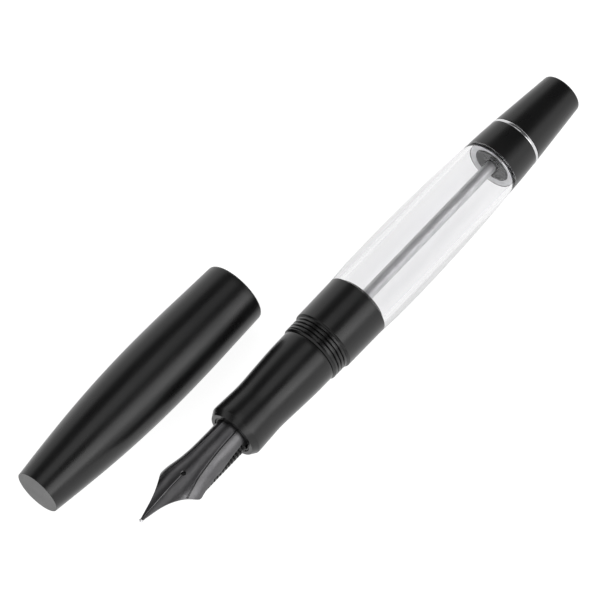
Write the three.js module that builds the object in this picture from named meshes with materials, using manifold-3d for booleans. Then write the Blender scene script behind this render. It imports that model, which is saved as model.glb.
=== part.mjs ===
// Eyedropper fountain pen with a shut-off rod, lying uncapped with its cap beside it.
// Millimetres. +Z is up, the pen and the cap lie along X, and the nib points to -X.
// Stations along the pen are distances from the nib's point.
import * as THREE from 'three';
import { mergeVertices } from 'three/addons/utils/BufferGeometryUtils.js';
import Module from 'manifold-3d';

// ---------- driving dimensions ----------
const PEN_LENGTH = 133.3;
const SECTION_FRONT = 28.6;      // rear edge of the bevel round the section's front
const SECTION_END = 50.9;        // section meets the front collar
const BARREL_FRONT = 66.0;       // front collar meets the clear barrel
const BARREL_REAR = 109.6;       // clear barrel meets the rear collar
const TENON_FRONT = 58.9;        // the barrel runs on inside the collars to these two stations
const TENON_REAR = 113.6;
const RING_FRONT = 116.8;        // rear collar meets the trim ring
const KNOB_FRONT = 117.7;
const BOSS_END = 123.0;          // end of the rear collar's stud that the knob screws on
const SPIGOT_END = 56.8;         // end of the section's tail inside the front collar
const HOUSING_END = 46.9;        // end of the nib housing inside the section
const BARREL_RADIUS = 7.68;      // the pen's widest circle
const BORE_RADIUS = 5.6;         // ink chamber
const NECK_RADIUS = 4.2;         // narrower hole at the barrel's front
const ROD_RADIUS = 1.3;
const NIB_RADIUS = 3.95;         // outside of the nib at its base
const NIB_THICKNESS = 0.35;
const FEED_RADIUS = 3.5;
const CAP_LENGTH = 59.6;
const CAP_RADIUS = 7.65;         // the cap's widest circle
const CAP_MOUTH_RADIUS = 7.1;
const CAP_BORE_RADIUS = 6.65;
const CAP_OFFSET_Y = 20.9;       // from the pen's axis to the cap's
const CAP_MOUTH_X = 52.4;        // the cap lies nearly abreast of where it sits when closed
const THREAD_PITCH = 0.9;
const THREAD_TURNS = 4;
const THREAD_DEPTH = 0.22;
const RUNNING_GAP = 0.06;        // radial play of parts that turn or slide in each other
const SEGMENTS = 32;
const SMALL_SEGMENTS = 20;

const CAP_CLOSED_X = CAP_MOUTH_X - CAP_LENGTH;

// ---------- materials ----------
const material = (color, roughness, metalness = 0, extra = {}) =>
  () => new THREE.MeshStandardMaterial({ color, roughness, metalness, ...extra });
const blackResin = material(0x17171a, 0.42);
const clearAcrylic = material(0xe9edf0, 0.08, 0, { transparent: true, opacity: 0.35 });
const gunmetal = material(0x5b5c60, 0.28, 1);
const polishedSteel = material(0xc9cacc, 0.15, 1);
const tippingAlloy = material(0x9a9a9c, 0.3, 1);
const feedPlastic = material(0x141416, 0.6);
const darkRubber = material(0x55565a, 0.5);
const blackRubber = material(0x1c1c1e, 0.75);
const brass = material(0xb08d4a, 0.35, 1);
const innerCapPlastic = material(0x2a2a2d, 0.55);

// ---------- geometry helpers ----------
const point = (x, radius) => new THREE.Vector2(radius, x);

// A body turned about X from an outline of (station, radius) points.
function turned(outline, segments = SEGMENTS) {
  const closed = outline[0].x > 0 ? [...outline, outline[0].clone()] : outline;
  const geometry = new THREE.LatheGeometry(closed, segments);
  geometry.rotateZ(-Math.PI / 2);
  return facingOut(geometry);
}

// A plain tube or washer between two stations.
function tube(x0, x1, outer, inner, segments = SEGMENTS) {
  return turned([point(x0, inner), point(x0, outer), point(x1, outer), point(x1, inner)], segments);
}

// A round-section ring whose centre circle has the given station and radius.
function ringSeal(x, radius, thickness) {
  const geometry = new THREE.TorusGeometry(radius, thickness / 2, 6, SMALL_SEGMENTS);
  geometry.rotateY(Math.PI / 2);
  geometry.translate(x, 0, 0);
  return facingOut(geometry);
}

// Points of a smooth curve through the given (station, radius) points.
function curve(points, divisions) {
  return new THREE.SplineCurve(points).getPoints(divisions);
}

// Outline points of evenly pitched V-grooves cut into a cylinder, front to rear.
function grooves(x0, count, pitch, crest, root, width = pitch * 0.45) {
  const outline = [];
  for (let i = 0; i < count; i += 1) {
    const x = x0 + i * pitch;
    outline.push(point(x, crest), point(x + width / 2, root), point(x + width, crest));
  }
  return outline;
}

function facingOut(geometry) {
  const solid = mergeVertices(stripped(geometry), 1e-5);
  const position = solid.attributes.position;
  const index = solid.index.array;
  const corners = [new THREE.Vector3(), new THREE.Vector3(), new THREE.Vector3()];
  const kept = [];
  let volume = 0;
  for (let i = 0; i < index.length; i += 3) {
    const [a, b, c] = [index[i], index[i + 1], index[i + 2]];
    if (a === b || b === c || c === a) continue;
    kept.push(a, b, c);
    [a, b, c].forEach((vertex, k) => corners[k].fromBufferAttribute(position, vertex));
    volume += corners[0].dot(corners[1].clone().cross(corners[2]));
  }
  if (volume < 0) {
    for (let i = 0; i < kept.length; i += 3) [kept[i], kept[i + 1]] = [kept[i + 1], kept[i]];
  }
  solid.setIndex(kept);
  return solid;
}

function stripped(geometry) {
  const copy = geometry.clone();
  for (const name of Object.keys(copy.attributes)) {
    if (name !== 'position') copy.deleteAttribute(name);
  }
  return copy;
}

const wasm = await Module();
wasm.setup();

function solidOf(geometry) {
  const merged = facingOut(geometry);
  return new wasm.Manifold(new wasm.Mesh({
    numProp: 3,
    vertProperties: new Float32Array(merged.attributes.position.array),
    triVerts: new Uint32Array(merged.index.array),
  }));
}

function geometryOf(solid) {
  const mesh = solid.getMesh();
  const geometry = new THREE.BufferGeometry();
  geometry.setAttribute('position', new THREE.BufferAttribute(mesh.vertProperties, 3));
  geometry.setIndex(Array.from(mesh.triVerts));
  return geometry;
}

const subtract = (body, ...tools) =>
  geometryOf(tools.reduce((solid, tool) => solid.subtract(solidOf(tool)), solidOf(body)));
const intersect = (a, b) => geometryOf(solidOf(a).intersect(solidOf(b)));
const join = (a, b) => geometryOf(solidOf(a).add(solidOf(b)));

function box(x0, x1, y0, y1, z0, z1) {
  const geometry = new THREE.BoxGeometry(x1 - x0, y1 - y0, z1 - z0);
  geometry.translate((x0 + x1) / 2, (y0 + y1) / 2, (z0 + z1) / 2);
  return geometry;
}

// A closed solid between an upper and a lower surface, each a function of (along, across) in 0..1.
function sheet(upper, lower, alongSteps, acrossSteps) {
  const positions = [];
  const index = [];
  const row = acrossSteps + 1;
  const layer = (alongSteps + 1) * row;
  for (const surface of [upper, lower]) {
    for (let i = 0; i <= alongSteps; i += 1) {
      for (let j = 0; j <= acrossSteps; j += 1) {
        positions.push(...surface(i / alongSteps, j / acrossSteps));
      }
    }
  }
  const quad = (a, b, c, d) => index.push(a, b, c, a, c, d);
  for (let i = 0; i < alongSteps; i += 1) {
    for (let j = 0; j < acrossSteps; j += 1) {
      const a = i * row + j;
      quad(a, a + row, a + row + 1, a + 1);
      quad(a + layer, a + 1 + layer, a + row + 1 + layer, a + row + layer);
    }
    const left = i * row;
    const right = left + acrossSteps;
    quad(left, left + layer, left + row + layer, left + row);
    quad(right, right + row, right + row + layer, right + layer);
  }
  for (let j = 0; j < acrossSteps; j += 1) {
    const back = alongSteps * row + j;
    quad(j, j + 1, j + 1 + layer, j + layer);
    quad(back, back + layer, back + 1 + layer, back + 1);
  }
  const geometry = new THREE.BufferGeometry();
  geometry.setAttribute('position', new THREE.Float32BufferAttribute(positions, 3));
  geometry.setIndex(index);
  return facingOut(geometry);
}

// ---------- outlines shared by several pieces ----------
const barrelCurve = [
  point(BARREL_FRONT, 7.27), point(71, 7.56), point(78, BARREL_RADIUS),
  point(86, 7.61), point(94, 7.42), point(102, 7.08), point(BARREL_REAR, 6.6),
];
const TENON_RADIUS = 6.2;        // barrel's front tenon inside the collar
const REAR_TENON_RADIUS = 6.1;
const SPIGOT_RADIUS = 5.2;       // section's threaded tail
const HOUSING_RADIUS = 4.4;
const DISC_RADIUS = 4.15;        // disc that seals the rod at the rear of the ink chamber
const DISC_FRONT = 109.4;
const COUNTERSINK = 0.2;         // how far the bush round the disc stands in front of it
const SEAL_RADIUS = 3.2;         // shut-off seal and the seat it closes on
const SEAT_RADIUS = 3.65;
const BOSS_RADIUS = 3.6;
const THREAD_CREST = 6.75;       // collar's outside thread, which the cap screws on
const GLUE_GAP = 0.05;           // radial room between pieces that are fixed together

// ---------- barrel group ----------
function barrelTube() {
  return turned([
    point(TENON_FRONT, NECK_RADIUS), point(TENON_FRONT, TENON_RADIUS),
    point(BARREL_FRONT, TENON_RADIUS), ...curve(barrelCurve, 9),
    point(BARREL_REAR, REAR_TENON_RADIUS), point(TENON_REAR, REAR_TENON_RADIUS),
    point(TENON_REAR, BORE_RADIUS), point(BARREL_FRONT + 0.9, BORE_RADIUS),
    point(BARREL_FRONT + 0.9, NECK_RADIUS),
  ]);
}

function frontCollar() {
  const bore = SPIGOT_RADIUS + 0.1;
  const socket = TENON_RADIUS + GLUE_GAP;
  const socketFront = TENON_FRONT - 1.1;
  const thread = grooves(
    SECTION_END + 0.5, THREAD_TURNS, THREAD_PITCH, THREAD_CREST, THREAD_CREST - THREAD_DEPTH,
  );
  return turned([
    point(SECTION_END, bore), point(SECTION_END, 6.4), point(SECTION_END + 0.35, THREAD_CREST),
    ...thread, point(55.1, THREAD_CREST), point(55.25, 7.12), point(BARREL_FRONT, 7.25),
    point(BARREL_FRONT, socket), point(socketFront, socket), point(socketFront, bore),
  ]);
}

function rearCollar() {
  const rodHole = ROD_RADIUS + 0.1;
  const socket = REAR_TENON_RADIUS + GLUE_GAP;
  const socketEnd = TENON_REAR + 1.2;
  return turned([
    point(BARREL_REAR, socket), point(BARREL_REAR, 6.6), point(TENON_REAR, 6.37),
    point(RING_FRONT, 6.12), point(RING_FRONT, BOSS_RADIUS), point(BOSS_END, BOSS_RADIUS),
    point(BOSS_END, rodHole), point(116.4, rodHole), point(116.4, 2.4),
    point(socketEnd, 2.4), point(socketEnd, socket),
  ]);
}

const barrelFrontSeal = () => ringSeal(58.35, 5.75, 0.85);
const barrelRearSeal = () => ringSeal(114.2, 5.85, 0.52);
const rodSealDisc = () => tube(DISC_FRONT, 114.7, DISC_RADIUS, ROD_RADIUS + RUNNING_GAP);
const rodOring = () => ringSeal(115.6, 1.9, 0.98);

// A bush round the disc, countersunk in front of it.
function glandRing() {
  const outer = BORE_RADIUS - 0.1;
  const bore = DISC_RADIUS + GLUE_GAP;
  return turned([
    point(DISC_FRONT + 0.1, bore), point(DISC_FRONT - COUNTERSINK, outer - 0.4),
    point(DISC_FRONT - COUNTERSINK, outer), point(114.75, outer), point(114.75, bore),
  ]);
}

function trimRing() {
  const front = RING_FRONT + 0.05;
  const rear = KNOB_FRONT - 0.15;
  const bore = BOSS_RADIUS + 0.1;
  return turned([
    point(front, bore), point(front, 6.1), point(front + 0.15, 6.2), point(rear - 0.15, 6.18),
    point(rear, 6.05), point(rear, bore),
  ]);
}

// ---------- knob group ----------
const ROD_FRONT = 55.85;
const ROD_REAR = 127.5;

const valveRod = () => turned([
  point(ROD_FRONT, 0), point(ROD_FRONT, ROD_RADIUS), point(ROD_REAR, ROD_RADIUS), point(ROD_REAR, 0),
], SMALL_SEGMENTS);

function sealRetainer() {
  const rear = ROD_FRONT - 0.01;
  return turned([
    point(55, 0), point(55, 1.2), point(55.2, 1.45), point(rear, 1.45), point(rear, 0),
  ], SMALL_SEGMENTS);
}

const SLEEVE_RADIUS = 4.6;
const SLEEVE_END = BOSS_END + 1.2;
const ANCHOR_RADIUS = 3.05;
const ANCHOR_END = ROD_REAR + 0.5;

function knob() {
  const wide = SLEEVE_RADIUS + GLUE_GAP;
  const narrow = ANCHOR_RADIUS + GLUE_GAP;
  return turned([
    point(ANCHOR_END, 0), point(ANCHOR_END, narrow), point(SLEEVE_END, narrow),
    point(SLEEVE_END, wide), point(KNOB_FRONT, wide), point(KNOB_FRONT, 5.98),
    point(KNOB_FRONT + 0.2, 6.05), point(PEN_LENGTH - 0.45, 4.72),
    point(PEN_LENGTH - 0.12, 4.58), point(PEN_LENGTH, 4.3), point(PEN_LENGTH, 0),
  ]);
}

function knobSleeve() {
  return tube(KNOB_FRONT + 0.05, SLEEVE_END - 0.05, SLEEVE_RADIUS, BOSS_RADIUS + RUNNING_GAP);
}

function rodAnchor() {
  const bore = ROD_RADIUS + GLUE_GAP;
  return tube(SLEEVE_END + 0.05, ANCHOR_END - 0.1, ANCHOR_RADIUS, bore, SMALL_SEGMENTS);
}

// ---------- shut-off valve ----------
function valveSeal() {
  const hole = ROD_RADIUS + RUNNING_GAP;
  return turned([
    point(55.9, hole), point(55.9, 1.83), point(SPIGOT_END, 2.88), point(57.2, SEAL_RADIUS),
    point(58.6, SEAL_RADIUS), point(58.6, hole),
  ], SMALL_SEGMENTS);
}

function valveSeat() {
  return turned([
    point(54.95, 1.6), point(54.95, SEAT_RADIUS), point(SPIGOT_END, SEAT_RADIUS),
    point(SPIGOT_END, 3), point(55.6, 1.6),
  ], SMALL_SEGMENTS);
}

// ---------- section group ----------
const LIP_FRONT = 27.15;
const O_RING_X = 55.15;
const INK_HOLE_RADIUS = 2;

function sectionGrip() {
  const grip = [
    point(29.2, 6.15), point(32.5, 6), point(36, 5.9), point(41, 6.15), point(46, 6.4),
    point(SECTION_END - 0.3, 6.45),
  ];
  const bore = HOUSING_RADIUS + GLUE_GAP;
  const boreEnd = HOUSING_END + 0.1;
  const seatBore = SEAT_RADIUS + GLUE_GAP;
  const shoulder = SECTION_END - 0.1;
  const groove = [
    point(O_RING_X - 0.55, SPIGOT_RADIUS), point(O_RING_X - 0.55, 4.32),
    point(O_RING_X + 0.55, 4.32), point(O_RING_X + 0.55, SPIGOT_RADIUS),
  ];
  return turned([
    point(LIP_FRONT, bore), point(LIP_FRONT, 5.35), point(LIP_FRONT + 1.2, 6.06),
    point(SECTION_FRONT, 6.14),
    ...curve(grip, 8), point(shoulder, 6.35), point(shoulder, SPIGOT_RADIUS), ...groove,
    point(SPIGOT_END, SPIGOT_RADIUS), point(SPIGOT_END, seatBore), point(54.9, seatBore),
    point(54.9, INK_HOLE_RADIUS), point(boreEnd, INK_HOLE_RADIUS), point(boreEnd, bore),
  ]);
}

const sectionOring = () => ringSeal(O_RING_X, 4.8, 0.84);

function nibHousing() {
  const front = LIP_FRONT + 0.15;
  const bore = NIB_RADIUS + GLUE_GAP;
  const boreEnd = HOUSING_END - 1.4;
  return turned([
    point(front, bore), point(front, HOUSING_RADIUS - 0.1), point(front + 0.1, HOUSING_RADIUS),
    point(HOUSING_END, HOUSING_RADIUS), point(HOUSING_END, INK_HOLE_RADIUS),
    point(boreEnd, INK_HOLE_RADIUS), point(boreEnd, bore),
  ]);
}

// ---------- nib and feed ----------
const NIB_TIP_X = 0.5;
const NIB_TAIL_X = 36;
const HOLE_X = 13.1;
const SLIT_WIDTH = 0.1;
const NIB_ROLL = -5 * Math.PI / 180;   // the section came to rest turned slightly towards the cap

// Smooth value along the pen through (station, value) points.
function along(pairs) {
  const spline = new THREE.SplineCurve(pairs.map(([x, value]) => new THREE.Vector2(x, value)));
  const samples = spline.getPoints(200);
  return (x) => {
    const next = Math.max(1, samples.findIndex((sample) => sample.x >= x));
    const [a, b] = [samples[next - 1], samples[next]];
    return a.y + (b.y - a.y) * (x - a.x) / (b.x - a.x);
  };
}
const nibHalfWidth = along([
  [0, 0.12], [2.9, 0.85], [5, 1.45], [7.2, 2.35], [9.3, 3.5], [11.2, 4.8], [12.1, 5.12],
  [13.3, 4.95], [16, 4.45], [18, 4.15], [22, 3.88], [26, 3.68], [30, 3.6], [37, 3.6],
]);
const nibTop = along([[0, 2.95], [4, 3.4], [8, 3.75], [13, 3.93], [20, NIB_RADIUS], [37, NIB_RADIUS]]);
const nibArcRadius = along([[0, 4], [6, 4.8], [12, 5.7], [17, 4.4], [22, NIB_RADIUS], [37, NIB_RADIUS]]);

function nibSurface(inset) {
  return (t, across) => {
    const x = NIB_TIP_X + (NIB_TAIL_X - NIB_TIP_X) * t;
    const radius = nibArcRadius(x);
    const angle = (2 * across - 1) * Math.asin(nibHalfWidth(x) / radius);
    const z = nibTop(x) - radius + (radius - inset) * Math.cos(angle);
    return [x, (radius - inset) * Math.sin(angle), z];
  };
}

function nib() {
  const body = sheet(nibSurface(0), nibSurface(NIB_THICKNESS), 26, 10);
  const hole = new THREE.CylinderGeometry(0.5, 0.5, 4, 16);
  hole.rotateX(Math.PI / 2);
  hole.translate(HOLE_X, 0, 3.6);
  const slit = box(-1, HOLE_X, -SLIT_WIDTH / 2, SLIT_WIDTH / 2, 1, 6);
  return subtract(body, hole, slit).rotateX(NIB_ROLL);
}

// A small pellet whose flat back meets the nib's front edge.
function nibTipping() {
  const radius = 0.42;
  const outline = [point(0, 0)];
  for (let i = 1; i <= 4; i += 1) {
    const angle = Math.PI * 0.55 * i / 4;
    outline.push(point(radius * (1 - Math.cos(angle)), radius * Math.sin(angle)));
  }
  outline.push(point(outline[4].y, 0));
  const pellet = turned(outline, 12);
  pellet.translate(0, 0, nibTop(NIB_TIP_X) - NIB_THICKNESS / 2 - 0.02);
  return pellet.rotateX(NIB_ROLL);
}

// A round finned bar whose front rises to a tongue under the nib. Below the nib's edges its fins
// stand out further than the bar.
function feed() {
  const fins = 13;
  const pitch = 0.88;
  const firstFin = 15.3;
  const root = FEED_RADIUS - 0.7;
  const finRadius = FEED_RADIUS + 0.5;
  const lastFin = firstFin + fins * pitch;
  const finned = (front, rear, radius) => turned([
    point(front, 0), point(front, radius), ...grooves(firstFin, fins, pitch, radius, root, 0.5),
    point(rear, radius), point(rear, 0),
  ], SMALL_SEGMENTS);
  const clear = NIB_THICKNESS + 0.12;
  const side = new THREE.Shape();
  side.moveTo(8.6, 1.9);
  side.lineTo(8.6, nibTop(8.6) - clear);
  side.lineTo(13, nibTop(13) - clear);
  side.lineTo(45, FEED_RADIUS + 1);
  side.lineTo(45, -5);
  side.lineTo(17, -4);
  side.lineTo(13.5, -1.4);
  side.closePath();
  const slab = new THREE.ExtrudeGeometry(side, { depth: 10, bevelEnabled: false });
  slab.translate(0, 0, -5);
  slab.rotateX(Math.PI / 2);
  const bar = intersect(finned(8, 44, FEED_RADIUS), slab);
  const lowFins = intersect(finned(firstFin - 0.4, lastFin, finRadius), box(10, 30, -6, 6, -6, 0.2));
  return join(bar, intersect(lowFins, slab)).rotateX(NIB_ROLL);
}

// ---------- cap group (stations from the closed end) ----------
const LINER_MOUTH = 31.8;
const CAP_DEPTH = 3.4;           // solid end of the cap's shell
const capCurve = [
  point(0.15, 5.12), point(8, 6.02), point(17, 6.87), point(26, 7.42), point(35, CAP_RADIUS),
  point(44, 7.57), point(52, 7.33), point(CAP_LENGTH - 0.3, CAP_MOUTH_RADIUS),
];

function capShell() {
  const threads = grooves(
    CAP_LENGTH - 0.6 - THREAD_TURNS * THREAD_PITCH, THREAD_TURNS, THREAD_PITCH,
    CAP_BORE_RADIUS + 0.15, CAP_BORE_RADIUS + 0.32,
  ).reverse();
  return turned([
    point(0, 0), point(0, 5), ...curve(capCurve, 9),
    point(CAP_LENGTH, CAP_MOUTH_RADIUS - 0.12), point(CAP_LENGTH, CAP_BORE_RADIUS + 0.15),
    ...threads,
    point(CAP_LENGTH - 4.8, CAP_BORE_RADIUS + 0.15), point(CAP_LENGTH - 5, CAP_BORE_RADIUS),
    point(LINER_MOUTH + 0.5, CAP_BORE_RADIUS), point(LINER_MOUTH + 0.5, 6.1),
    point(18, 5.95), point(CAP_DEPTH, 3.9), point(CAP_DEPTH, 0),
  ]);
}

function capLiner() {
  return turned([
    point(CAP_DEPTH + 0.1, 0), point(CAP_DEPTH + 0.1, 3.8), point(18, 5.85), point(LINER_MOUTH, 6),
    point(LINER_MOUTH, 5.55), point(18, 5.45), point(CAP_DEPTH + 0.75, 3.35), point(CAP_DEPTH + 0.75, 0),
  ]);
}

// ---------- assembly ----------
function named(name, geometry, makeMaterial) {
  const mesh = new THREE.Mesh(geometry, makeMaterial());
  mesh.name = name;
  return mesh;
}

const pen = new THREE.Group();
pen.name = 'pen';
pen.add(
  named('barrel_tube', barrelTube(), clearAcrylic),
  named('front_collar', frontCollar(), blackResin),
  named('barrel_front_seal', barrelFrontSeal(), blackRubber),
  named('barrel_rear_seal', barrelRearSeal(), blackRubber),
  named('rear_collar', rearCollar(), blackResin),
  named('gland_ring', glandRing(), polishedSteel),
  named('rod_seal_disc', rodSealDisc(), darkRubber),
  named('rod_o_ring', rodOring(), blackRubber),
  named('trim_ring', trimRing(), polishedSteel),
  named('valve_rod', valveRod(), polishedSteel),
  named('seal_retainer', sealRetainer(), polishedSteel),
  named('valve_seal', valveSeal(), blackRubber),
  named('knob', knob(), blackResin),
  named('knob_sleeve', knobSleeve(), brass),
  named('rod_anchor', rodAnchor(), brass),
  named('section_grip', sectionGrip(), blackResin),
  named('section_o_ring', sectionOring(), blackRubber),
  named('valve_seat', valveSeat(), blackRubber),
  named('nib_housing', nibHousing(), feedPlastic),
  named('nib', nib(), gunmetal),
  named('nib_tipping', nibTipping(), tippingAlloy),
  named('feed', feed(), feedPlastic),
);
pen.position.z = BARREL_RADIUS;

const cap = new THREE.Group();
cap.name = 'cap';
cap.add(
  named('cap_shell', capShell(), blackResin),
  named('cap_liner', capLiner(), innerCapPlastic),
);
cap.position.set(CAP_CLOSED_X, CAP_OFFSET_Y, CAP_RADIUS);

// The origin is under the middle of the whole assembly, on the table.
const fountainPen = new THREE.Group();
fountainPen.name = 'fountain_pen';
fountainPen.add(pen, cap);
fountainPen.position.set(
  -(CAP_CLOSED_X + PEN_LENGTH) / 2,
  -(CAP_OFFSET_Y + CAP_RADIUS - BARREL_RADIUS) / 2,
  0,
);

export default fountainPen;
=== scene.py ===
"""Fountain pen with a clear ink barrel, its cap lying beside it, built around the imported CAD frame.

Stations are millimetres along the pen from the nib's point, or along the cap from its closed end.
Radii and the other sizes of outlines are millimetres too, and become metres as each mesh is made.
"""
import math

import bmesh
import bpy
import numpy as np
from mathutils import Matrix, Vector


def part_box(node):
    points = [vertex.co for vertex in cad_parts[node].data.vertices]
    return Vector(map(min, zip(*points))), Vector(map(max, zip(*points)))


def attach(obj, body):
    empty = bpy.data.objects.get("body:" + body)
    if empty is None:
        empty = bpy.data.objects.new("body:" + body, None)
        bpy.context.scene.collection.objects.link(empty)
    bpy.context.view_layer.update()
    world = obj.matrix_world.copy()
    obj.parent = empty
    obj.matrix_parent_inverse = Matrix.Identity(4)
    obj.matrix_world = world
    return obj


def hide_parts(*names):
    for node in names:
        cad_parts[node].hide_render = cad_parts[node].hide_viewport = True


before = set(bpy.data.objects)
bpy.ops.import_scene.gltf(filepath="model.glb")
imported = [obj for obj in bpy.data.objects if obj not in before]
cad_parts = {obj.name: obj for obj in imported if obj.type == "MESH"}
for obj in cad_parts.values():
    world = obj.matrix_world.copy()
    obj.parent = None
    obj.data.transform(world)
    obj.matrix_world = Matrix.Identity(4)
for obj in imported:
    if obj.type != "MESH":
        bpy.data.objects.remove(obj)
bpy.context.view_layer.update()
MM = 0.001


# ---------- the two axes, from the frame ----------
class Axis:
    """A line along X that round pieces are turned about. Stations count from its first node's front."""

    def __init__(self, round_node, first_node):
        low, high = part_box(round_node)
        self.y = (low.y + high.y) / 2
        self.z = (low.z + high.z) / 2
        self.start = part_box(first_node)[0].x

    def point(self, station, y, z):
        return Vector((self.start + station * MM, self.y + y * MM, self.z + z * MM))

    def span(self, node):
        """First and last station of a CAD node."""
        low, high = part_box(node)
        return (low.x - self.start) / MM, (high.x - self.start) / MM


pen = Axis("barrel_tube", "nib_tipping")
cap = Axis("cap_shell", "cap_shell")

NIB_FRONT, NIB_BACK = pen.span("nib")
FEED_FRONT, FEED_BACK = pen.span("feed")
HOUSING_FRONT, HOUSING_END = pen.span("nib_housing")
GRIP_FRONT, SPIGOT_END = pen.span("section_grip")
COLLAR_FRONT, BARREL_FRONT = pen.span("front_collar")
TENON_FRONT, TENON_REAR = pen.span("barrel_tube")
BARREL_REAR, BOSS_END = pen.span("rear_collar")
RING_FRONT, RING_REAR = pen.span("trim_ring")
KNOB_FRONT, KNOB_END = pen.span("knob")
ROD_FRONT, ROD_REAR = pen.span("valve_rod")
CAP_LENGTH = cap.span("cap_shell")[1]

# ---------- radii and other sizes that several pieces share ----------
BARREL_RADIUS = (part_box("barrel_tube")[1].z - pen.z) / MM
CAP_RADIUS = (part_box("cap_shell")[1].z - cap.z) / MM
BORE_RADIUS = 5.6
NECK_RADIUS = 4.2
TENON_RADIUS = 6.2
REAR_TENON_RADIUS = 6.1
SPIGOT_RADIUS = 5.2
BOSS_RADIUS = 3.6
ROD_RADIUS = 1.3
HOUSING_RADIUS = 4.4
NIB_RADIUS = 3.95
SEAT_RADIUS = 3.65
DISC_RADIUS = 4.15
INK_HOLE_RADIUS = 2
THREAD_PITCH = 0.9
GLUE_GAP = 0.05        # radial room between pieces that are fixed together
SLIDING_GAP = 0.06     # and between pieces that slide or turn closely on one another
CLEARANCE = 0.1        # and where nothing needs to touch


# ---------- outlines ----------
def eased(corners, steps=5):
    """Rounds each corner that has a third number: the length that the rounding takes off both its sides."""
    points = []
    for i, corner in enumerate(corners):
        here = Vector(corner[:2])
        if len(corner) == 2:
            points.append(here)
            continue
        before = Vector(corners[i - 1][:2])
        after = Vector(corners[(i + 1) % len(corners)][:2])
        start = here + (before - here).normalized() * corner[2]
        end = here + (after - here).normalized() * corner[2]
        for k in range(steps + 1):
            t = k / steps
            points.append(start * (1 - t) ** 2 + here * 2 * t * (1 - t) + end * t ** 2)
    return points


def smooth(points, steps=6):
    """Points of a Catmull-Rom curve through the given ones."""
    knots = [Vector(p) for p in points]
    knots = [2 * knots[0] - knots[1], *knots, 2 * knots[-1] - knots[-2]]
    curve = []
    for a, b, c, d in zip(knots, knots[1:], knots[2:], knots[3:]):
        for k in range(steps):
            t = k / steps
            curve.append(0.5 * (
                2 * b + (c - a) * t + (2 * a - 5 * b + 4 * c - d) * t ** 2 + (3 * b - a - 3 * c + d) * t ** 3
            ))
    return curve + [knots[-2]]


def value_along(points):
    """A smooth function of station through (station, value) points."""
    curve = smooth(points, 16)
    stations = [p.x for p in curve]
    values = [p.y for p in curve]
    return lambda station: float(np.interp(station, stations, values))


def evenly(start, end, step):
    """Stations from start to end, about a step apart."""
    return [float(s) for s in np.linspace(start, end, max(2, round((end - start) / step) + 1))]


# ---------- meshes ----------
def piece(name, mesh, body, replaces, material, sharp_degrees=35):
    """Makes a shown piece from a bmesh: smooth but for its sharp edges, riding on its body."""
    bmesh.ops.recalc_face_normals(mesh, faces=mesh.faces)
    data = bpy.data.meshes.new(name)
    mesh.to_mesh(data)
    mesh.free()
    data.shade_smooth()
    data.set_sharp_from_angle(angle=math.radians(sharp_degrees))
    data.materials.append(material)
    made = bpy.data.objects.new(name, data)
    bpy.context.scene.collection.objects.link(made)
    flats = made.modifiers.new("flat faces stay flat", "WEIGHTED_NORMAL")
    flats.keep_sharp = True
    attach(made, body)
    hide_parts(*replaces)
    return made


def turned(outline, axis=None, segments=96, relief=None):
    """A bmesh turned about an axis.
    relief(station, radius, turn) gives the radius at each share of a turn."""
    axis = axis or pen
    mesh = bmesh.new()
    rings = []
    for station, radius in outline:
        if radius < 1e-6:
            rings.append([mesh.verts.new(axis.point(station, 0, 0))] * segments)
            continue
        ring = []
        for k in range(segments):
            turn = k / segments
            r = relief(station, radius, turn) if relief else radius
            angle = 2 * math.pi * turn
            ring.append(mesh.verts.new(axis.point(station, r * math.cos(angle), r * math.sin(angle))))
        rings.append(ring)
    closed = outline[0][1] > 1e-6
    pairs = list(zip(rings, rings[1:])) + ([(rings[-1], rings[0])] if closed else [])
    for first, second in pairs:
        for k in range(segments):
            corners = [first[k - 1], first[k], second[k], second[k - 1]]
            corners = list(dict.fromkeys(corners))
            if len(corners) > 2:
                mesh.faces.new(corners)
    return mesh


def thread(start, end, crest, depth, share=0.55):
    """A relief that cuts a helical V-groove of the given depth into the surface at the crest radius.
    A negative depth cuts outwards, into a bore. share is how much of the pitch the groove takes."""
    run_out = 0.4 * THREAD_PITCH
    flat_bottom = 1.3

    def relief(station, radius, turn):
        if abs(radius - crest) > 1e-4 or not start <= station <= end:
            return radius
        phase = ((station - start) / THREAD_PITCH + turn) % 1.0
        groove = max(0.0, 1 - abs(phase - 0.5) / (share / 2))
        fade = min(1.0, (station - start) / run_out, (end - station) / run_out)
        return radius - depth * min(1.0, groove * flat_bottom) * fade
    return relief


def threaded(start, end, crest):
    """Outline points close enough together to carry a thread."""
    return [(station, crest) for station in evenly(start, end, THREAD_PITCH / 12)]


def ring_seal(name, station, radius, thickness, body, node):
    """A round-section sealing ring."""
    outline = []
    across = thickness / 2
    corners = 12
    for k in range(corners):
        angle = 2 * math.pi * k / corners
        outline.append((station + across * math.sin(angle), radius + across * math.cos(angle)))
    return piece(name, turned(outline, segments=64), body, [node], BLACK_RUBBER)


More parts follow.
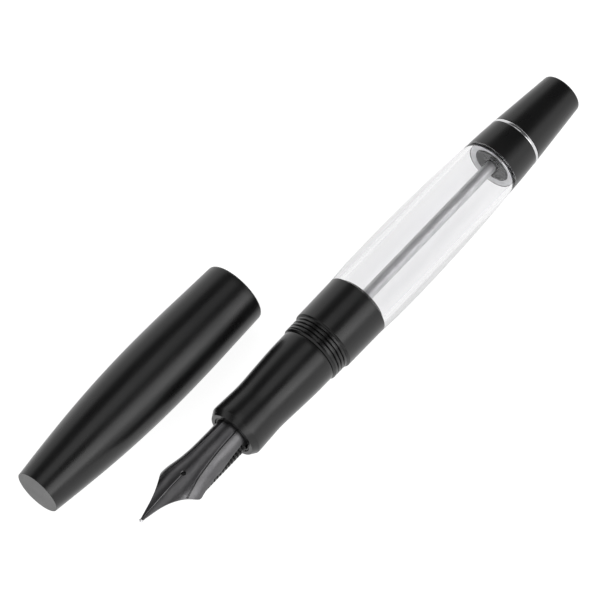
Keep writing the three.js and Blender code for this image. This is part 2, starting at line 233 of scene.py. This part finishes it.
# ---------- finishes ----------
class Finish:
    """A Principled material, with short ways to add the variation that the finishes share."""

    def __init__(self, name, **constants):
        self.material = bpy.data.materials.new(name)
        self.material.use_nodes = True
        self.nodes = self.material.node_tree.nodes
        self.links = self.material.node_tree.links
        self.shader = self.nodes["Principled BSDF"]
        for socket, value in constants.items():
            self.shader.inputs[socket.replace("_", " ")].default_value = value
        self.place = self.nodes.new("ShaderNodeTexCoord").outputs["Object"]

    def node(self, kind, **inputs):
        made = self.nodes.new("ShaderNode" + kind)
        for socket, value in inputs.items():
            target = made.inputs[socket.replace("_", " ")]
            if isinstance(value, bpy.types.NodeSocket):
                self.links.new(value, target)
            else:
                target.default_value = value
        return made

    def grain(self, size, stretch=1.0, detail=3.0):
        """Noise whose features are size millimetres across, and stretch times as long along X."""
        scaled = self.node("Mapping", Vector=self.place, Scale=(1 / stretch, 1.0, 1.0))
        noise = self.node("TexNoise", Vector=scaled.outputs[0], Scale=1 / (size * MM), Detail=detail)
        return noise.outputs["Fac"]

    def spread(self, source, low, high, from_low=0.35, from_high=0.65):
        """A number that goes from low to high as the source does between its own two limits."""
        ranged = self.node("MapRange", Value=source)
        ranged.inputs["From Min"].default_value = from_low
        ranged.inputs["From Max"].default_value = from_high
        ranged.inputs["To Min"].default_value = low
        ranged.inputs["To Max"].default_value = high
        return ranged.outputs["Result"]

    def colour(self, source, dark, light):
        """The base colour, from dark to light with the source."""
        colour_a, colour_b, colour_result = 6, 7, 2
        mix = self.node("Mix")
        mix.data_type = "RGBA"
        self.links.new(self.spread(source, 0, 1), mix.inputs["Factor"])
        mix.inputs[colour_a].default_value = (*dark, 1)
        mix.inputs[colour_b].default_value = (*light, 1)
        self.links.new(mix.outputs[colour_result], self.shader.inputs["Base Color"])
        return self

    def roughness(self, source, low, high):
        self.links.new(self.spread(source, low, high), self.shader.inputs["Roughness"])
        return self

    def bump(self, source, depth, strength=1.0):
        """Surface relief, depth millimetres deep."""
        bump = self.node("Bump", Height=source, Distance=depth * MM, Strength=strength)
        self.links.new(bump.outputs["Normal"], self.shader.inputs["Normal"])
        return self


def grey(value):
    return (value, value, value)


def satin_black():
    """Black resin with a fine blasted grain, a little smoother here and there from handling."""
    finish = Finish("satin_black", IOR=1.46)
    finish.colour(finish.grain(0.35, detail=4), (0.0006, 0.0006, 0.0007), (0.0016, 0.0016, 0.0017))
    finish.roughness(finish.grain(5.0, stretch=2.5), 0.27, 0.33)
    finish.bump(finish.grain(0.22, detail=2), 0.004, 0.5)
    return finish.material


def clear_acrylic():
    """Polished cast acrylic, faintly grey and with the faintest haze along its length.
    It bends light less than real acrylic does, so what lies behind it shows almost undistorted."""
    finish = Finish("clear_acrylic", IOR=1.16, Transmission_Weight=1.0)
    haze = finish.grain(3.0, stretch=4)
    finish.colour(haze, (0.925, 0.925, 0.93), (0.935, 0.935, 0.94))
    finish.roughness(haze, 0.0, 0.006)
    tint = finish.node("VolumeAbsorption", Color=(0.5, 0.5, 0.51, 1), Density=45.0)
    finish.links.new(tint.outputs["Volume"], finish.nodes["Material Output"].inputs["Volume"])
    return finish.material


def dark_plating():
    """Dark-plated steel, polished lengthways."""
    finish = Finish("dark_plating", Metallic=1.0)
    brushed = finish.grain(0.05, stretch=40, detail=4)
    finish.colour(finish.grain(1.2, stretch=3), (0.095, 0.094, 0.098), (0.125, 0.123, 0.126))
    finish.roughness(brushed, 0.28, 0.38)
    finish.bump(brushed, 0.002, 0.35)
    return finish.material


def steel(name, low, high, grain=0.06, stretch=30):
    """Bright steel with fine lengthways polishing marks."""
    finish = Finish(name, Metallic=1.0)
    marks = finish.grain(grain, stretch=stretch)
    finish.colour(finish.grain(2.0, stretch=2), (0.58, 0.58, 0.59), (0.68, 0.68, 0.69))
    finish.roughness(marks, low, high)
    finish.bump(marks, 0.001, 0.3)
    return finish.material


def turned_brass():
    finish = Finish("turned_brass", Metallic=1.0)
    marks = finish.grain(0.08, stretch=0.2)
    finish.colour(finish.grain(1.5), (0.36, 0.22, 0.07), (0.5, 0.33, 0.12))
    finish.roughness(marks, 0.25, 0.4)
    finish.bump(marks, 0.002, 0.4)
    return finish.material


def rubber(name, dark, light, low, high):
    """Moulded rubber or seal plastic, dusted with a fine bloom."""
    finish = Finish(name, IOR=1.5)
    finish.colour(finish.grain(0.6, detail=5), dark, light)
    finish.roughness(finish.grain(0.3), low, high)
    finish.bump(finish.grain(0.12), 0.003, 0.4)
    return finish.material


SATIN_BLACK = satin_black()
CLEAR_ACRYLIC = clear_acrylic()
DARK_PLATING = dark_plating()
POLISHED_STEEL = steel("polished_steel", 0.12, 0.2)
DRAWN_STEEL = steel("drawn_steel", 0.5, 0.6, grain=0.12)
GROUND_STEEL = steel("ground_steel", 0.3, 0.42, grain=0.15, stretch=1)
TURNED_BRASS = turned_brass()
BLACK_RUBBER = rubber("black_rubber", grey(0.006), grey(0.012), 0.55, 0.75)
GREY_SEAL = rubber("grey_seal", grey(0.045), grey(0.06), 0.1, 0.18)
MATT_BLACK = rubber("matt_black_plastic", grey(0.001), grey(0.003), 0.42, 0.55)


# ---------- the barrel and what is fixed to it ----------
def clear_barrel():
    belly = smooth([
        (BARREL_FRONT, 7.27), (71, 7.56), (78, BARREL_RADIUS), (86, 7.61), (94, 7.42), (102, 7.08),
        (BARREL_REAR, 6.6),
    ])
    shoulder = BARREL_FRONT + 0.9
    outline = [
        *eased([(TENON_FRONT, NECK_RADIUS), (TENON_FRONT, TENON_RADIUS)]),
        (BARREL_FRONT, TENON_RADIUS), *belly, (BARREL_REAR, REAR_TENON_RADIUS),
        (TENON_REAR, REAR_TENON_RADIUS), (TENON_REAR, BORE_RADIUS), (shoulder, BORE_RADIUS),
        (shoulder, NECK_RADIUS),
    ]
    piece("clear_barrel", turned(outline, segments=128), "barrel", ["barrel_tube"],
          CLEAR_ACRYLIC)


def threaded_collar():
    crest = 6.75
    start = COLLAR_FRONT + 0.35
    end = 55.1
    bore = SPIGOT_RADIUS + CLEARANCE
    socket = TENON_RADIUS + GLUE_GAP
    socket_front = TENON_FRONT - 1.1
    outline = [
        (COLLAR_FRONT, bore),
        *eased([(COLLAR_FRONT, bore), (COLLAR_FRONT, 6.4, 0.08), (start, crest)])[1:-1],
        *threaded(start, end, crest),
        *eased([(end, crest), (55.25, 7.12, 0.1), (BARREL_FRONT, 7.25, 0.06), (BARREL_FRONT, socket)])[1:],
        (socket_front, socket), (socket_front, bore),
    ]
    mesh = turned(outline, segments=160, relief=thread(start, end, crest, 0.34, share=0.45))
    piece("threaded_collar", mesh, "barrel", ["front_collar"], SATIN_BLACK)


def tail_collar():
    rod_hole = ROD_RADIUS + CLEARANCE
    socket = REAR_TENON_RADIUS + GLUE_GAP
    socket_end = TENON_REAR + 1.2
    boss_start = KNOB_FRONT + 0.3
    boss_end = BOSS_END - 0.4
    outline = [
        (BARREL_REAR, socket),
        *eased([(BARREL_REAR, socket), (BARREL_REAR, 6.6, 0.06), (TENON_REAR, 6.37),
                (RING_FRONT, 6.12, 0.08), (RING_FRONT, BOSS_RADIUS)])[1:],
        *threaded(boss_start, boss_end, BOSS_RADIUS),
        *eased([(boss_end, BOSS_RADIUS), (BOSS_END, BOSS_RADIUS, 0.2), (BOSS_END, rod_hole)])[1:],
        (116.4, rod_hole), (116.4, 2.4), (socket_end, 2.4), (socket_end, socket),
    ]
    mesh = turned(outline, segments=128, relief=thread(boss_start, boss_end, BOSS_RADIUS, 0.3))
    piece("tail_collar", mesh, "barrel", ["rear_collar"], SATIN_BLACK)


def trim_band():
    bore = BOSS_RADIUS + CLEARANCE
    outline = eased([
        (RING_FRONT, bore), (RING_FRONT, 6.2, 0.14), (RING_REAR, 6.16, 0.14), (RING_REAR, bore),
    ])
    piece("trim_band", turned(outline, segments=128), "barrel", ["trim_ring"],
          POLISHED_STEEL)


def rod_gland():
    """A steel bush round the wiper, countersunk in front of it."""
    front, rear = pen.span("gland_ring")
    disc_front = pen.span("rod_seal_disc")[0]
    bore = DISC_RADIUS + GLUE_GAP
    outer = BORE_RADIUS - CLEARANCE
    outline = eased([
        (disc_front + 0.1, bore), (front, outer - 0.4, 0.08), (front, outer, 0.1), (rear, outer),
        (rear, bore),
    ])
    piece("rod_gland", turned(outline), "barrel", ["gland_ring"], GROUND_STEEL)


def rod_wiper():
    """Glossy disc at the rear of the ink chamber, dished slightly towards the rod."""
    front, rear = pen.span("rod_seal_disc")
    hole = ROD_RADIUS + SLIDING_GAP
    outline = eased([
        (rear, hole), (front + 0.25, hole), (front + 0.08, hole + 0.3, 0.1), (front, 3.9, 0.1),
        (front + 0.1, DISC_RADIUS), (rear, DISC_RADIUS),
    ])
    piece("rod_wiper", turned(outline), "barrel", ["rod_seal_disc"], GREY_SEAL)


# ---------- the knob, its rod and the shut-off seal ----------
def end_knob():
    sleeve = 4.65
    anchor = 3.1
    anchor_end = ROD_REAR + 0.5
    step = BOSS_END + 1.2
    outline = [
        (anchor_end, 0),
        *eased([(anchor_end, 0), (anchor_end, anchor), (step, anchor), (step, sleeve),
                (KNOB_FRONT, sleeve), (KNOB_FRONT, 6.06, 0.12), (KNOB_END, 4.68, 0.42),
                (KNOB_END, 0)], steps=7)[1:],
    ]
    piece("end_knob", turned(outline, segments=128), "knob", ["knob"], SATIN_BLACK)


def steel_rod():
    outline = eased([
        (ROD_FRONT, 0), (ROD_FRONT, ROD_RADIUS, 0.08), (ROD_REAR, ROD_RADIUS, 0.15), (ROD_REAR, 0),
    ])
    piece("steel_rod", turned(outline, segments=64), "knob", ["valve_rod"],
          DRAWN_STEEL)


def rod_fixings():
    front, rear = pen.span("knob_sleeve")
    bore = BOSS_RADIUS + SLIDING_GAP
    sleeve = eased([(front, bore), (front, 4.6, 0.1), (rear, 4.6, 0.1), (rear, bore)])
    piece("thread_sleeve", turned(sleeve), "knob", ["knob_sleeve"], TURNED_BRASS)
    front, rear = pen.span("rod_anchor")
    bore = ROD_RADIUS + GLUE_GAP
    anchor = eased([(front, bore), (front, 3.05, 0.15), (rear, 3.05, 0.15), (rear, bore)])
    piece("rod_nut", turned(anchor, segments=64), "knob", ["rod_anchor"], TURNED_BRASS)
    front, rear = pen.span("seal_retainer")
    button = eased([(front, 0), (front, 1.45, 0.22), (rear, 1.45), (rear, 0)])
    piece("seal_button", turned(button, segments=48), "knob", ["seal_retainer"],
          POLISHED_STEEL)


def shut_off_seal():
    front, rear = pen.span("valve_seal")
    hole = ROD_RADIUS + SLIDING_GAP
    cone = eased([(front, hole), (front, 1.83), (57.2, 3.2, 0.15), (rear, 3.2, 0.15), (rear, hole)])
    piece("cone_seal", turned(cone, segments=64), "valve", ["valve_seal"], BLACK_RUBBER)


# ---------- the section ----------
def grip():
    waist = smooth([
        (29.2, 6.15), (32.5, 6), (36, 5.9), (41, 6.15), (46, 6.4), (COLLAR_FRONT - 0.3, 6.45),
    ])
    bore = HOUSING_RADIUS + GLUE_GAP
    bore_end = HOUSING_END + 0.1
    seat_bore = SEAT_RADIUS + GLUE_GAP
    shoulder = COLLAR_FRONT - 0.1
    thread_start = shoulder + 0.5
    thread_end = 54.2
    ring_groove = [(54.6, SPIGOT_RADIUS), (54.6, 4.32), (55.7, 4.32), (55.7, SPIGOT_RADIUS)]
    lip = eased([
        (GRIP_FRONT, bore, 0.08), (GRIP_FRONT, 5.35, 0.05), (28.45, 6.13, 0.1), waist[0],
    ])
    outline = [
        *lip[:-1],
        *waist,
        *eased([waist[-1], (shoulder, 6.4, 0.08), (shoulder, SPIGOT_RADIUS)])[1:],
        *threaded(thread_start, thread_end, SPIGOT_RADIUS), *ring_groove,
        (SPIGOT_END, SPIGOT_RADIUS), (SPIGOT_END, seat_bore), (54.9, seat_bore),
        (54.9, INK_HOLE_RADIUS), (bore_end, INK_HOLE_RADIUS), (bore_end, bore),
    ]
    relief = thread(thread_start, thread_end, SPIGOT_RADIUS, 0.25)
    piece("grip", turned(outline, segments=128, relief=relief), "section",
          ["section_grip"], SATIN_BLACK)


def nib_sleeve():
    bore = NIB_RADIUS + GLUE_GAP
    bore_end = HOUSING_END - 1.4
    outline = eased([
        (HOUSING_FRONT, bore, 0.05), (HOUSING_FRONT, HOUSING_RADIUS, 0.12),
        (HOUSING_END, HOUSING_RADIUS), (HOUSING_END, INK_HOLE_RADIUS), (bore_end, INK_HOLE_RADIUS),
        (bore_end, bore),
    ])
    piece("nib_sleeve", turned(outline), "section", ["nib_housing"], MATT_BLACK)


def seal_seat():
    front, rear = pen.span("valve_seat")
    outline = eased([
        (front, 1.6), (front, SEAT_RADIUS), (rear, SEAT_RADIUS), (rear, 3, 0.1), (55.6, 1.6),
    ])
    piece("seal_seat", turned(outline, segments=64), "section", ["valve_seat"],
          BLACK_RUBBER)


# ---------- the nib and its feed ----------
NIB_THICKNESS = 0.35
HOLE_STATION = 13.1
HOLE_RADIUS = 0.5
NIB_ROLL = math.radians(-5)
nib_half_width = value_along([
    (0, 0.12), (2.9, 0.85), (5, 1.45), (7.2, 2.35), (9.3, 3.5), (11.2, 4.8), (12.1, 5.12),
    (13.3, 4.95), (16, 4.45), (18, 4.15), (22, 3.88), (26, 3.68), (30, 3.6), (37, 3.6),
])
# Height of its middle line above the pen's axis, the radius it is curved to, and how far the engraved
# line lies from the middle.
nib_top = value_along([(0, 2.95), (4, 3.4), (8, 3.75), (13, 3.93), (20, NIB_RADIUS), (37, NIB_RADIUS)])
nib_arc = value_along([(0, 4), (6, 4.8), (12, 5.7), (17, 4.4), (22, NIB_RADIUS), (37, NIB_RADIUS)])
nib_line = value_along([
    (8, 4.4), (10, 3.65), (12.8, 3.0), (14.8, 2.55), (20.5, 1.9), (27, 1.6), (37, 1.5),
])


def rolled(mesh):
    """Turns a piece of the nib unit about the pen's axis: the section rests a little turned to +Y."""
    turn = Matrix.Rotation(NIB_ROLL, 3, "X")
    bmesh.ops.rotate(mesh, verts=mesh.verts, cent=pen.point(0, 0, 0), matrix=turn)
    return mesh


def slit_half_width(station):
    """Half the gap between the tines: the slit, then the breather hole, then nothing."""
    slit = 0.03 + 0.03 * station / HOLE_STATION
    past = station - HOLE_STATION
    if past >= HOLE_RADIUS:
        return 0.0
    if past <= -HOLE_RADIUS:
        return slit
    hole = math.sqrt(HOLE_RADIUS ** 2 - past ** 2)
    return hole if past > 0 else max(hole, slit)


def nib_point(station, y, inset, side):
    """A point of the nib at a distance y from its middle line, inset below its upper surface."""
    arc = nib_arc(station)
    angle = math.asin(min(1.0, y / arc))
    height = nib_top(station) - arc + (arc - inset) * math.cos(angle)
    return pen.point(station, side * (arc - inset) * math.sin(angle), height)


def tine_section(station, side):
    """Upper points, then lower points, from the middle line out to the nib's edge."""
    inner = slit_half_width(station)
    outer = nib_half_width(station)
    wide = outer - inner
    line = min(nib_line(station), inner + 0.9 * wide)
    engraved = 0.15 * min(1.0, max(0.0, (outer - nib_line(station)) / 0.3))
    half_line = min(0.2, 0.06 * wide)
    bevel = min(0.07, 0.04 * wide)
    middle = np.linspace(inner + bevel, line - half_line, 9)
    flank = np.linspace(line + half_line, outer - bevel, 7)
    upper = [
        (inner, bevel), *[(y, 0) for y in middle], (line, engraved), *[(y, 0) for y in flank],
        (outer, bevel),
    ]
    lower = [(y, NIB_THICKNESS) for y, _ in upper]
    if inner == 0:
        upper[0] = (0, 0)    # no bevel where the two halves join
    return [[nib_point(station, y, inset, side) for y, inset in face] for face in (upper, lower)]


def nib_blade():
    hole_front = HOLE_STATION - HOLE_RADIUS
    hole_back = HOLE_STATION + HOLE_RADIUS
    round_hole = [HOLE_STATION - HOLE_RADIUS * math.cos(math.pi * k / 20) for k in range(1, 20)]
    stations = [
        *evenly(NIB_FRONT, hole_front, 0.22), *round_hole, *evenly(hole_back, NIB_BACK, 0.35),
    ]
    mesh = bmesh.new()
    for side in (-1, 1):
        sections = []
        for station in stations:
            sections.append([[mesh.verts.new(p) for p in face] for face in tine_section(station, side)])
        for i, ((upper, lower), (next_upper, next_lower)) in enumerate(zip(sections, sections[1:])):
            for k in range(len(upper) - 1):
                mesh.faces.new((upper[k], upper[k + 1], next_upper[k + 1], next_upper[k]))
                mesh.faces.new((lower[k + 1], lower[k], next_lower[k], next_lower[k + 1]))
            mesh.faces.new((upper[-1], lower[-1], next_lower[-1], next_upper[-1]))
            if slit_half_width(stations[i]) > 0:
                mesh.faces.new((lower[0], upper[0], next_upper[0], next_lower[0]))
        for upper, lower in (sections[0], sections[-1]):
            for k in range(len(upper) - 1):
                mesh.faces.new((upper[k], lower[k], lower[k + 1], upper[k + 1]))
    bmesh.ops.remove_doubles(mesh, verts=mesh.verts, dist=1e-7)
    piece("nib_blade", rolled(mesh), "nib_unit", ["nib"], DARK_PLATING, sharp_degrees=28)


def nib_point_pellet():
    """The ground writing tip: a ball flattened against the nib's front edge."""
    radius = 0.42
    front, rear = pen.span("nib_tipping")
    height = nib_top(NIB_FRONT) - NIB_THICKNESS / 2
    share_of_half_turn = 0.55
    steps = 8
    outline = [(front, 0.0)]
    for k in range(1, steps + 1):
        angle = math.pi * share_of_half_turn * k / steps
        outline.append((front + radius * (1 - math.cos(angle)), radius * math.sin(angle)))
    outline.append((rear, 0.0))
    mesh = turned(outline, segments=32)
    bmesh.ops.translate(mesh, verts=mesh.verts, vec=(0, 0, height * MM))
    piece("nib_pellet", rolled(mesh), "nib_unit", ["nib_tipping"], GROUND_STEEL)


def comb_feed():
    """A round bar with fins, cut flat under the nib and rising to a tongue at the front.
    Below the nib's edges the fins stand out further than the bar."""
    radius = 3.5
    fin_radius = 4.0
    fins = 13
    pitch = 0.88
    first_fin = 15.3
    slot_share = 0.5
    slot_root = radius - 0.75
    fin = 0.38
    edge = 0.03
    last_fin = 0.42
    edge_height = 0.15
    top = value_along([(8, 3.26), (13, 3.4), (18, 3.5), (45, 3.6)])
    belly = value_along([(8, 2.7), (9, 2.5), (11, 1.2), (13.5, -0.9), (15.4, -2.6), (17, -4), (45, -5)])
    bar_end = first_fin - 0.4
    rings = [(s, radius, radius) for s in evenly(FEED_FRONT, bar_end, 0.4)]
    for k in range(fins):
        start = first_fin + k * pitch
        end = start + slot_share * pitch
        rings += [
            (start - fin, radius, fin_radius), (start, radius, fin_radius),
            (start + edge, slot_root, slot_root), (end - edge, slot_root, slot_root),
            (end, radius, fin_radius),
        ]
    rings += [(end + last_fin, radius, fin_radius), (end + last_fin + edge, radius, radius)]
    rings += [(s, radius, radius) for s in evenly(end + 0.8, FEED_BACK, 2.0)]
    mesh = bmesh.new()
    corners = 72
    loops = []
    for station, upper, lower in rings:
        low = belly(station)
        high = top(station)
        half_width = nib_half_width(station) - 0.8 if station < bar_end else fin_radius
        loop = []
        for k in range(corners):
            angle = 2 * math.pi * k / corners
            r = lower if upper * math.sin(angle) < edge_height else upper
            height = min(max(r * math.sin(angle), low), high)
            y = min(max(r * math.cos(angle), -half_width), half_width)
            loop.append(mesh.verts.new(pen.point(station, y, height)))
        loops.append(loop)
    for first, second in zip(loops, loops[1:]):
        for k in range(corners):
            mesh.faces.new((first[k - 1], first[k], second[k], second[k - 1]))
    mesh.faces.new(loops[0])
    mesh.faces.new(list(reversed(loops[-1])))
    piece("comb_feed", rolled(mesh), "nib_unit", ["feed"], MATT_BLACK)


# ---------- the cap ----------
def cap_body():
    side = smooth([
        (0.15, 5.12), (8, 6.02), (17, 6.87), (26, 7.42), (35, CAP_RADIUS), (44, 7.57), (52, 7.33),
        (CAP_LENGTH - 0.5, 7.12),
    ])
    bore = 6.65
    crest = bore + 0.15
    depth = 3.4
    liner_end = cap.span("cap_liner")[1] + 0.5
    thread_front = CAP_LENGTH - 4.7
    thread_rear = CAP_LENGTH - 0.8
    end_face = eased([(0, 0), (0, 5.12, 0.1), side[0]])
    mouth = eased([
        side[-1], (CAP_LENGTH, 7.05, 0.3), (CAP_LENGTH, crest, 0.12), (thread_rear, crest),
    ])
    outline = [
        (0, 0), *end_face[1:-1], *side, *mouth[1:-1],
        *reversed(threaded(thread_front, thread_rear, crest)),
        (thread_front - 0.3, bore), (liner_end, bore), (liner_end, 6.1), (18, 5.95), (depth, 3.9),
        (depth, 0),
    ]
    mesh = turned(outline, cap, segments=160, relief=thread(thread_front, thread_rear, crest, -0.17))
    piece("cap_body", mesh, "cap", ["cap_shell"], SATIN_BLACK)


def cap_inner():
    front, mouth = cap.span("cap_liner")
    wall = 0.65
    outline = [
        (front, 0), (front, 3.8), (18, 5.85), (mouth, 6), (mouth, 5.55), (18, 5.45),
        (front + wall, 3.35), (front + wall, 0),
    ]
    piece("cap_inner", turned(outline, cap), "cap", ["cap_liner"], MATT_BLACK)


clear_barrel()
threaded_collar()
tail_collar()
trim_band()
rod_gland()
rod_wiper()
ring_seal("front_gasket", 58.35, 5.75, 0.85, "barrel", "barrel_front_seal")
ring_seal("rear_gasket", 114.2, 5.85, 0.52, "barrel", "barrel_rear_seal")
ring_seal("rod_gasket", 115.6, 1.9, 0.98, "barrel", "rod_o_ring")
end_knob()
steel_rod()
rod_fixings()
shut_off_seal()
grip()
ring_seal("section_gasket", 55.15, 4.8, 0.84, "section_ring", "section_o_ring")
nib_sleeve()
seal_seat()
nib_blade()
nib_point_pellet()
comb_feed()
cap_body()
cap_inner()


# ---------- the studio ----------
FLOOR_SIZE = 6.0


def floor():
    """A pale floor, partly self-lit so that shadows stay faint."""
    mesh = bmesh.new()
    bmesh.ops.create_grid(mesh, x_segments=1, y_segments=1, size=FLOOR_SIZE / 2)
    data = bpy.data.meshes.new("floor")
    mesh.to_mesh(data)
    mesh.free()
    made = bpy.data.objects.new("floor", data)
    bpy.context.scene.collection.objects.link(made)
    made.location.z = -0.0001
    finish = Finish("pale_floor", Roughness=0.9, Emission_Color=(1, 1, 1, 1), Emission_Strength=0.92)
    finish.shader.inputs["Specular IOR Level"].default_value = 0.0
    finish.shader.inputs["Base Color"].default_value = (0.3, 0.3, 0.3, 1)
    data.materials.append(finish.material)


def soft_light(name, tilt, width, x_low, x_high, distance, radiance):
    """A long soft box over the pen. tilt is its angle from overhead towards +Y, and width the angle
    that it fills across the pen, both in degrees."""
    length = x_high - x_low
    across = 2 * distance * math.tan(math.radians(width) / 2)
    data = bpy.data.lights.new(name, "AREA")
    data.shape = "RECTANGLE"
    data.size = length
    data.size_y = across
    data.energy = radiance * math.pi * length * across
    made = bpy.data.objects.new(name, data)
    bpy.context.scene.collection.objects.link(made)
    angle = math.radians(tilt)
    made.location = ((x_low + x_high) / 2, distance * math.sin(angle), distance * math.cos(angle))
    made.rotation_euler = (-angle, 0, 0)
    made.visible_camera = False


def surroundings():
    """Grey studio walls, brighter towards the horizon."""
    world = bpy.data.worlds.new("studio")
    bpy.context.scene.world = world
    world.use_nodes = True
    nodes = world.node_tree.nodes
    links = world.node_tree.links
    direction = nodes.new("ShaderNodeTexCoord").outputs["Generated"]
    split = nodes.new("ShaderNodeSeparateXYZ")
    links.new(direction, split.inputs[0])
    height = nodes.new("ShaderNodeMapRange")
    height.interpolation_type = "SMOOTHSTEP"
    height.inputs["From Min"].default_value = 0.45
    height.inputs["From Max"].default_value = 0.65
    height.inputs["To Min"].default_value = 1.0
    height.inputs["To Max"].default_value = 0.1
    links.new(split.outputs["Z"], height.inputs["Value"])
    background = nodes["Background"]
    background.inputs["Color"].default_value = (1, 1, 1, 1)
    links.new(height.outputs["Result"], background.inputs["Strength"])


def camera():
    """A long lens above and behind the nib's left, at the photograph's angle."""
    heading = math.radians(40.2)
    elevation = math.radians(60.15)
    distance = 0.7105
    target = pen.point(59.5, 9.62, 0)
    forward = Vector((
        math.cos(elevation) * math.cos(heading), math.cos(elevation) * math.sin(heading),
        -math.sin(elevation),
    ))
    data = bpy.data.cameras.new("camera")
    data.sensor_width = 36
    data.lens = 210
    data.clip_start = 0.01
    made = bpy.data.objects.new("camera", data)
    bpy.context.scene.collection.objects.link(made)
    made.location = target - forward * distance
    made.rotation_euler = forward.to_track_quat("-Z", "Y").to_euler()
    bpy.context.scene.camera = made


floor()
surroundings()
soft_light("overhead", tilt=4, width=30, x_low=-0.6, x_high=0.235, distance=0.5, radiance=1.1)
soft_light("key", tilt=-53, width=34, x_low=-0.6, x_high=0.31, distance=0.6, radiance=2.3)
camera()
bpy.context.scene.view_settings.view_transform = "Standard"
